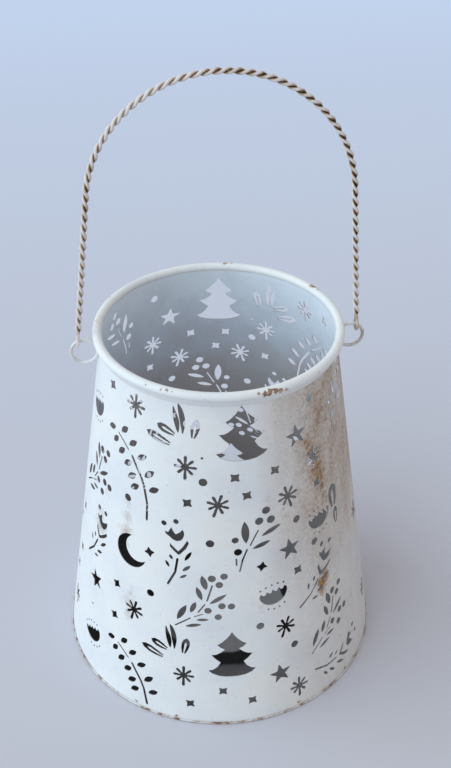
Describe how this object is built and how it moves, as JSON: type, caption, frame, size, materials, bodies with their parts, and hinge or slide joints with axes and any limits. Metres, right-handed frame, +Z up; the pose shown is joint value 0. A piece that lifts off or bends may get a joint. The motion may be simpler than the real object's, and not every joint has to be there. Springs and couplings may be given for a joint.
{
  "type": "punched tin lantern",
  "caption": "Tapered tin lantern with a winter pattern pierced through its wall, a rolled rim and a twisted wire bail hinged on two side rings.",
  "frame": {"origin": "middle of the base, on the surface that the lantern stands on", "axes": "+Z up along the lantern's axis, +X along the bail's hinge line towards the right ring, the front faces -Y"},
  "size_m": [0.1678, 0.1678, 0.3136],
  "materials": {
    "white_paint": "chalky white paint, chipped to rust at the edges",
    "worn_wire": "white paint worn down to dark wire in the grooves of the twist"
  },
  "bodies": {
    "lantern": {"pierced_wall": "white_paint", "rolled_rim": "white_paint", "base_pan": "white_paint", "bail_rings": "white_paint"},
    "bail": {"bail_strand_front": "worn_wire", "bail_strand_back": "worn_wire"}
  },
  "joints": [
    {"name": "bail_swing", "type": "hinge", "parent": "lantern", "child": "bail", "pos_m": [0, 0, 0.18434], "axis": [1, 0, 0], "range_deg": [-144, 144]}
  ]
}
